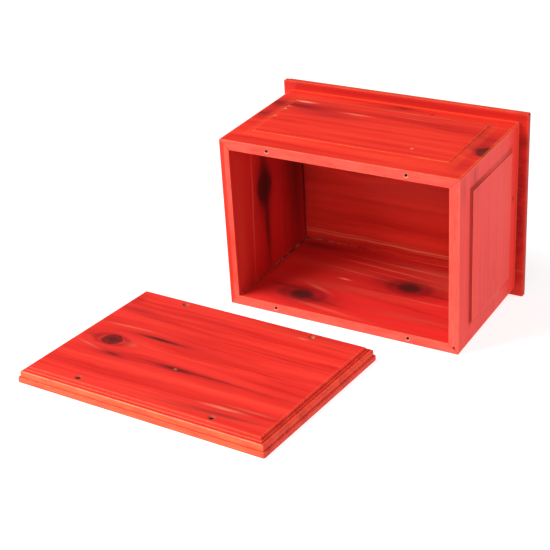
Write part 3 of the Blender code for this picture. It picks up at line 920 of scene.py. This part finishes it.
class BackLook(Look):
    contrast = 1.3
    knot_blur = 0.45
    knots = ((52, 26.8, 12.5, 38), (-32.4, 75.8, 13, 38))
    # (84, 120) is painted shade in the corner by the left wall and the cap
    dark = (
        (50, 24, 24, 6.5, 0.48, 0.08), (-30, 77, 24, 6.5, 0.48), (28, 21, 24, 1.8, 0.30, 0.1),
        (72, 36, 20, 1.8, 0.35), (-64, 70, 22, 1.8, 0.35), (0, 60, 30, 1.4, 0.2),
        (84, 120, 22, 6, 0.42), (104, 66, 5, 40, 0.30), (-60, 40, 30, 1.3, 0.20, 0.1),
        (-80, 22, 26, 1.5, 0.20, 0.1), (6, 112, 36, 2.4, 0.22, -0.08),
    )
    light = (
        (29.7, 68, 5, 0.9, 0.9), (0, 100, 44, 1.3, 0.40, 0.08), (-20, 110, 48, 1.1, 0.40, 0.05),
        (24, 84, 30, 0.9, 0.28, 0.10), (44, 43, 14, 2.0, 0.25, 0.35), (20, 10, 34, 2.0, 0.20, 0.12),
        (-60, 56, 30, 1.2, 0.2), (-10, 90, 40, 0.8, 0.22, 0.06), (20, 52, 60, 6, 0.08),
        (-40, 112, 40, 5, 0.14), (50, 84, 40, 6, 0.08), (-60, 26, 40, 5, 0.08),
        (-78, 104, 44, 12, 0.17), (-84, 88, 40, 7, 0.10), (-50, 127.5, 42, 0.7, 0.55),
    )
    violet = (
        (52, 26, 40, 14, 0.34), (-32, 76, 36, 14, 0.34), (90, 104, 26, 14, 0.30),
        (62, 120, 50, 6, 0.25), (-70, 30, 40, 8, 0.2), (0, 48, 60, 5, 0.18, 0.1),
    )


class LeftLook(Look):
    outer_rim_pale = 0.0
    contrast = 0.9
    knots = ((14.6, 56, 12.5, 36),)
    # (0, 116) darkens the wall towards the cap with painted shade, and (10, 129) paints shade into its
    # corner with the cap
    dark = (
        (-26, 58, 38, 3.6, 0.55), (14, 56, 24, 9.5, 0.80), (46, 56, 18, 4.5, 0.35),
        (-40, 90, 30, 1.5, 0.2), (0, 116, 90, 18, 0.52), (30, 112, 50, 9, 0.25),
        (10, 129, 70, 2.0, 0.9),
    )
    light = ((0, 34, 60, 1.0, 0.35, 0.05), (-20, 12, 80, 9, 0.08))
    violet = ((-20, 57, 50, 10, 0.34), (20, 98, 80, 20, 0.48), (30, 62, 40, 22, 0.25))


class CapLook(Look):
    contrast = 0.9
    tint = -0.25
    edge_wear = 0.45
    knots = ((40, 20, 7.5, 24),)
    # (106, 10) is painted shade in the corner by the left wall
    dark = (
        (0, -68.5, 100, 1.2, 0.12), (-20, 30, 40, 1.4, 0.12), (60, -20, 30, 1.4, 0.12),
        (-96, 62, 18, 5, 0.60), (106, 10, 4, 60, 0.45), (40, -76, 40, 3, 0.25),
    )
    light = (
        (0, -63.7, 104, 0.9, 0.50), (60, -60.8, 60, 0.6, 0.30), (-60, -66, 40, 0.7, 0.4),
        (-10, 0, 80, 30, 0.05),
    )
    violet = (
        (-90, 56, 30, 12, 0.25), (20, 66, 60, 8, 0.16), (-114, 0, 5, 80, 0.75),
        (100, 10, 12, 70, 0.25), (0, 85.5, 120, 3.5, 0.35),
    )


# ------------------------ the boards as pieces

def finish_board(obj, node, body):
    """Put a finished board in the place of its CAD node."""
    obj.matrix_world = BOARD_FRAMES[node]
    smooth_shade(obj)
    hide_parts(node)
    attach(obj, body)


def paint_cone(cutter, material):
    """Give the cutter's cone, which cuts a chamfer or countersink, its own material."""
    cutter.data.materials.append(material)
    for face in cutter.data.polygons:
        if len(face.vertices) == 4 and abs(face.normal.z) > CONE_SLOPE:
            face.material_index = 1


def pilot_cutters(hole_material, chamfer_material):
    """Two pilot holes for the base screws, going in from the rim, each with a worn chamfer."""
    mouth = PILOT_RADIUS + PILOT_CHAMFER + CUT_OVERRUN
    profile = [
        (0.0, -CUT_OVERRUN),
        (mouth, -CUT_OVERRUN),
        (PILOT_RADIUS, PILOT_CHAMFER),
        (PILOT_RADIUS, PILOT_DEPTH),
        (0.0, PILOT_DEPTH + PILOT_POINT),
    ]
    into_board = Matrix.Rotation(-math.pi / 2, 4, 'X')
    cutters = []
    for x in (-HOLE_X, HOLE_X):
        cutter = turned_cutter(f"pilot_{x:+.3f}", profile, hole_material)
        paint_cone(cutter, chamfer_material)
        cutter.matrix_world = Matrix.Translation((x, 0.0, -WALL_THICKNESS / 2)) @ into_board
        cutters.append(cutter)
    return cutters


def clearance_cutters(hole_material, pale_hole_material, sink_material):
    """Countersunk screw holes through the base plate; the two on its far side are paler inside."""
    top = BOARD_THICKNESS + CUT_OVERRUN
    sink = COUNTERSINK_RADIUS - CLEARANCE_RADIUS
    profile = [
        (0.0, top),
        (COUNTERSINK_RADIUS + CUT_OVERRUN, top),
        (CLEARANCE_RADIUS, BOARD_THICKNESS - sink),
        (CLEARANCE_RADIUS, -CUT_OVERRUN),
        (0.0, -CUT_OVERRUN),
    ]
    cutters = []
    for x in (-HOLE_X, HOLE_X):
        for y, material in ((-HOLE_Y, hole_material), (HOLE_Y, pale_hole_material)):
            cutter = turned_cutter(f"clearance_{x:+.3f}_{y:+.3f}", profile, material)
            paint_cone(cutter, sink_material)
            cutter.location = (x, y, 0.0)
            cutters.append(cutter)
    return cutters


def chip_cutter(material):
    """A short chip out of the rim, beside the mitre at the foot of the right board."""
    half_x, half_y, half_z = (length / 2 for length in CHIP_SIZE)
    loops = [
        (centred_loop(half_x * CHIP_TAPER, half_y * CHIP_TAPER, -half_z), 0.0, 0.0),
        (centred_loop(half_x, half_y, half_z), 0.0, 0.0),
    ]
    cutter = new_object("chip", loft("chip", loops), material)
    place = Matrix.Translation((BOX_DEPTH / 2 - CHIP_FROM_CORNER, 0.0, -CHIP_FROM_OUTER_FACE))
    along_mitre = Matrix.Rotation(math.radians(45), 4, 'Z')
    cutter.matrix_world = place @ Matrix.Rotation(math.pi / 2, 4, 'X') @ along_mitre
    return cutter


def build_wall(node, length, look, seed, has_field=True, cove_sheen=0.0, gape=0.0, cutters=()):
    """A wall board; gape is how far the mitre at its low x gapes."""
    material = wood(node + "_wood", seed, look, half_length=length / 2 / MM)
    mesh = loft(node + "_mesh", wall_loops(length, has_field, cove_sheen, gape))
    obj = new_object(node + "_wall", mesh, material)
    if cutters:
        cut(obj, cutters)
    finish_board(obj, node, "box")


def build_plate(node, look, seed, body, cutters=()):
    """A moulded board: the cap or the base plate."""
    material = wood(node + "_wood", seed, look)
    obj = new_object(node + "_moulded", loft(node + "_mesh", moulded_board_loops()), material)
    if cutters:
        cut(obj, cutters)
    finish_board(obj, node, body)


def build_boards():
    drilled = drilled_wood("drilled_wood", HOLE_DARK, HOLE_RED)
    sunk = drilled_wood("countersunk_wood", SINK_DARK, SINK_PALE)
    chamfered = drilled_wood("chamfered_wood", CHAMFER_DARK, CHAMFER_PALE)
    pilots = pilot_cutters(drilled, chamfered)
    # the front board's coves get a faint painted sheen
    build_wall("front_board", BOX_WIDTH, FrontLook, 1, cove_sheen=0.12, gape=OPEN_MITRE, cutters=pilots)
    pilots = pilot_cutters(drilled, chamfered)
    build_wall("back_board", BOX_WIDTH, BackLook, 2, has_field=False, cutters=pilots)
    build_wall("left_board", BOX_DEPTH, LeftLook, 3)
    build_wall("right_board", BOX_DEPTH, RightLook, 4, cutters=[chip_cutter(drilled)])
    build_plate("cap_board", CapLook, 5, "box")
    clearances = clearance_cutters(drilled, chamfered, sunk)
    build_plate("base_plate", BaseLook, 6, "base", clearances)


# ------------------------ glue and dust in the seams

DUST_DARK = (0.14, 0.022, 0.016)
DUST_PALE = (0.44, 0.20, 0.14)
DUST_STAINED = (0.20, 0.012, 0.010)
SPECK_CELL = (1.4, 1.4, 1.4)
PATCH_CELL = (9, 9, 9)

SEAM_STEPS = 150
SEAM_MIN_WIDTH = 0.12 * MM
SEAM_PROFILE = ((0.0, 0.0), (1.0, 0.0), (0.6, 0.22), (0.36, 0.36), (0.22, 0.6), (0.0, 1.0))
COARSE_RIPPLE = 400  # lumps per metre
FINE_RIPPLE = 1300
LEFT_SEAM_LENGTH = 0.93 * WALL_LENGTH
LEFT_SEAM_WIDTHS = (1.9 * MM, 0.35 * MM)
CAP_SEAM_LENGTH = 0.4 * BOX_WIDTH
CAP_SEAM_WIDTHS = (1.1 * MM, 0.15 * MM)

RIGHTWARD = Vector((1, 0, 0))
FORWARD = Vector((0, -1, 0))
UPWARD = Vector((0, 0, 1))


def seam_material():
    """Dried glue and sanding dust: pale specks over dark stain."""
    material, tree, shader = new_material("seam_dust")
    place = millimetres(tree)
    specks = noise(tree, place, SPECK_CELL, 31, detail=4.0, roughness=0.75)
    patches = noise(tree, place, PATCH_CELL, 32)
    color = mix_color(tree, specks.ramp(0.42, 0.66), DUST_DARK, DUST_PALE)
    color = mix_color(tree, patches.ramp(0.40, 0.60), color, DUST_STAINED)
    tree.links.new(color, shader.inputs['Base Color'])
    shader.inputs['Roughness'].default_value = 0.9
    shader.inputs['Specular IOR Level'].default_value = 0.1
    add_bump(tree, shader, specks, 0.3 * MM)
    return material


def seam_bead(name, start, end, first_way, second_way, widths, seed):
    """A rough fillet in the corner between two boards, widths = (at start, at end), in lying coordinates."""
    loops = []
    for step in range(SEAM_STEPS + 1):
        share = step / SEAM_STEPS
        here = start.lerp(end, share)
        coarse = noise_at(here * COARSE_RIPPLE + Vector((seed, 0, 0)))
        ripple = 0.75 + 0.9 * coarse + 0.4 * noise_at(here * FINE_RIPPLE)
        width = max(SEAM_MIN_WIDTH, (widths[0] + (widths[1] - widths[0]) * share) * ripple)
        points = []
        for along_first, along_second in SEAM_PROFILE:
            points.append(here + first_way * (along_first * width) + second_way * (along_second * width))
        loops.append((points, 0.0, 0.0))
    obj = new_object(name, loft(name, loops), seam_material())
    obj.matrix_world = lying
    smooth_shade(obj)
    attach(obj, "box")


def build_seams():
    """Beads from the corner of the left, back and cap boards: along the left board, and along the cap."""
    corner = Vector((-BOX_WIDTH / 2 + WALL_THICKNESS, WALL_END, WALL_THICKNESS))
    left_end = corner + FORWARD * LEFT_SEAM_LENGTH
    cap_end = corner + RIGHTWARD * CAP_SEAM_LENGTH
    seam_bead("left_seam_dust", corner, left_end, RIGHTWARD, UPWARD, LEFT_SEAM_WIDTHS, 1)
    seam_bead("cap_seam_dust", corner, cap_end, FORWARD, UPWARD, CAP_SEAM_WIDTHS, 2)


# ------------------------ screws

ZINC = (0.62, 0.60, 0.55)
ZINC_STAINED = (0.45, 0.40, 0.30)
CLOUD_CELL = (5, 5, 5)
SCRATCH_CELL = (0.4, 6, 0.4)


def zinc():
    """Zinc plate with turning marks and a few darker stains."""
    material, tree, shader = new_material("zinc_plate")
    place = millimetres(tree)
    cloud = noise(tree, place, CLOUD_CELL, 11, detail=3.0)
    scratches = noise(tree, place, SCRATCH_CELL, 12, detail=3.0)
    color = mix_color(tree, cloud.ramp(0.3, 0.7), ZINC, ZINC_STAINED)
    tree.links.new(color, shader.inputs['Base Color'])
    shader.inputs['Metallic'].default_value = 1.0
    tree.links.new(scratches.between(0.20, 0.45).socket, shader.inputs['Roughness'])
    add_bump(tree, shader, scratches, 0.02 * MM)
    return material


def plate_screws():
    """The screws stay the CAD's; only their material is better."""
    material = zinc()
    for number in range(1, 5):
        screw = frame["nodes"][f"base_screw_{number}"]
        screw.data.materials.clear()
        screw.data.materials.append(material)


# ------------------------ floor, light and camera

FLOOR_RADIUS = 6.0
FLOOR_STEPS = 96
FLOOR_CELL = (400, 400, 400)
FLOOR_DARK = (0.45, 0.45, 0.45)
FLOOR_PALE = (0.49, 0.49, 0.49)
FLOOR_GLOW = 0.70  # keeps the shadows on the white sweep pale
WORLD_GREY = (0.13, 0.13, 0.13, 1.0)

CAMERA_FROM_RIM = Vector((0.504765, -0.974831, 0.559628))
CAMERA_HEADING = math.radians(30.757)
CAMERA_TILT = math.radians(64.951)
CAMERA_ROLL = math.radians(-1.661)


def build_floor():
    """A plain white sweep."""
    material, tree, shader = new_material("white_sweep")
    cloud = noise(tree, millimetres(tree), FLOOR_CELL, 21)
    color = mix_color(tree, cloud, FLOOR_DARK, FLOOR_PALE)
    tree.links.new(color, shader.inputs['Base Color'])
    shader.inputs['Roughness'].default_value = 0.9
    shader.inputs['Specular IOR Level'].default_value = 0.1
    shader.inputs['Emission Color'].default_value = (1.0, 1.0, 1.0, 1.0)
    shader.inputs['Emission Strength'].default_value = FLOOR_GLOW
    bm = bmesh.new()
    bmesh.ops.create_circle(bm, cap_ends=True, segments=FLOOR_STEPS, radius=FLOOR_RADIUS)
    mesh = bpy.data.meshes.new("floor")
    bm.to_mesh(mesh)
    bm.free()
    floor = new_object("floor", mesh, material)


def area_light(name, direction, distance, size, power):
    """A square soft light that shines on the box from a direction."""
    light = bpy.data.lights.new(name, 'AREA')
    light.shape = 'SQUARE'
    light.size = size
    light.energy = power
    obj = bpy.data.objects.new(name, light)
    bpy.context.scene.collection.objects.link(obj)
    away = Vector(direction).normalized()
    obj.location = rim_foot + away * distance
    obj.rotation_euler = away.to_track_quat('Z', 'Y').to_euler()


def build_world():
    world = bpy.data.worlds.new("studio")
    bpy.context.scene.world = world
    world.use_nodes = True
    world.node_tree.nodes['Background'].inputs['Color'].default_value = WORLD_GREY


def build_camera():
    camera = bpy.data.cameras.new("camera")
    camera.sensor_width = 36.0
    camera.lens = 90.995
    camera.shift_x = 0.01724
    camera.shift_y = 0.01129
    obj = bpy.data.objects.new("camera", camera)
    bpy.context.scene.collection.objects.link(obj)
    place = Matrix.Translation(rim_foot + CAMERA_FROM_RIM)
    turn = Matrix.Rotation(CAMERA_HEADING, 4, 'Z')
    look_down = Matrix.Rotation(CAMERA_TILT, 4, 'X')
    roll = Matrix.Rotation(CAMERA_ROLL, 4, 'Z')
    obj.matrix_world = place @ turn @ look_down @ roll
    bpy.context.scene.camera = obj


build_boards()
build_seams()
plate_screws()
build_floor()
area_light("key", (-1.55, -1.35, 1.75), distance=2.7, size=1.6, power=112)
area_light("fill", (2.0, 0.4, 1.1), distance=2.5, size=1.5, power=32)
area_light("front_fill", (0.35, -1.0, 0.55), distance=2.6, size=1.4, power=22)
build_world()
build_camera()
bpy.context.scene.view_settings.view_transform = 'Standard'
